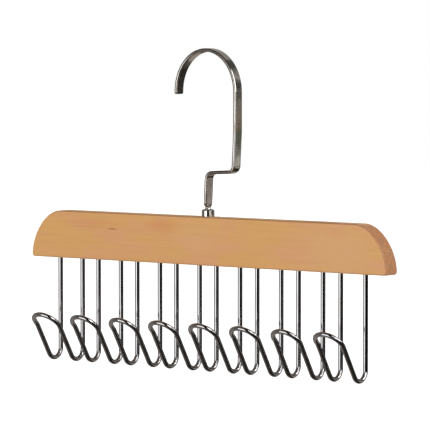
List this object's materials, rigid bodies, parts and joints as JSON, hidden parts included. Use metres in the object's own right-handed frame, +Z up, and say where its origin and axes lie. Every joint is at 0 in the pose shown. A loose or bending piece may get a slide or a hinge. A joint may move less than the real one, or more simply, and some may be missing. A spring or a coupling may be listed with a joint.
{
  "type": "delicates hanger",
  "caption": "Wooden bar hanger with a flat steel swivel hook and a row of looped wire hooks along its underside for straps and delicates.",
  "frame": {"origin": "where the rod touches the underside of the swivel hook's arc, at its highest point, in the middle of the strip", "axes": "+X along the bar, -Y towards the side that the wire loops lean out to, +Z up; the stem turns about Z"},
  "size_m": [0.305, 0.0421, 0.2191],
  "materials": {
    "lacquered_wood": "clear satin lacquer over fine straight grain",
    "plated_wire": "bright nickel-chrome plating on drawn wire",
    "plated_strip": "bright nickel-chrome plating on rolled strip, faintly waved",
    "plated_ferrule": "bright plating on turned steel",
    "zinc_washer": "dull zinc plating"
  },
  "bodies": {
    "hook": {"swivel_hook": "plated_strip", "stem_washer": "zinc_washer"},
    "bar": {"wooden_bar": "lacquered_wood", "hook_ferrule": "plated_ferrule", "wire_hook_1": "plated_wire", "wire_hook_2": "plated_wire", "wire_hook_3": "plated_wire", "wire_hook_4": "plated_wire", "wire_hook_5": "plated_wire", "wire_hook_6": "plated_wire", "wire_hook_7": "plated_wire", "wire_hook_8": "plated_wire"}
  },
  "joints": [
    {"name": "swivel", "type": "hinge", "parent": "hook", "child": "bar", "pos_m": [0, 0, -0.11183], "axis": [0, 0, 1], "continuous": true}
  ]
}
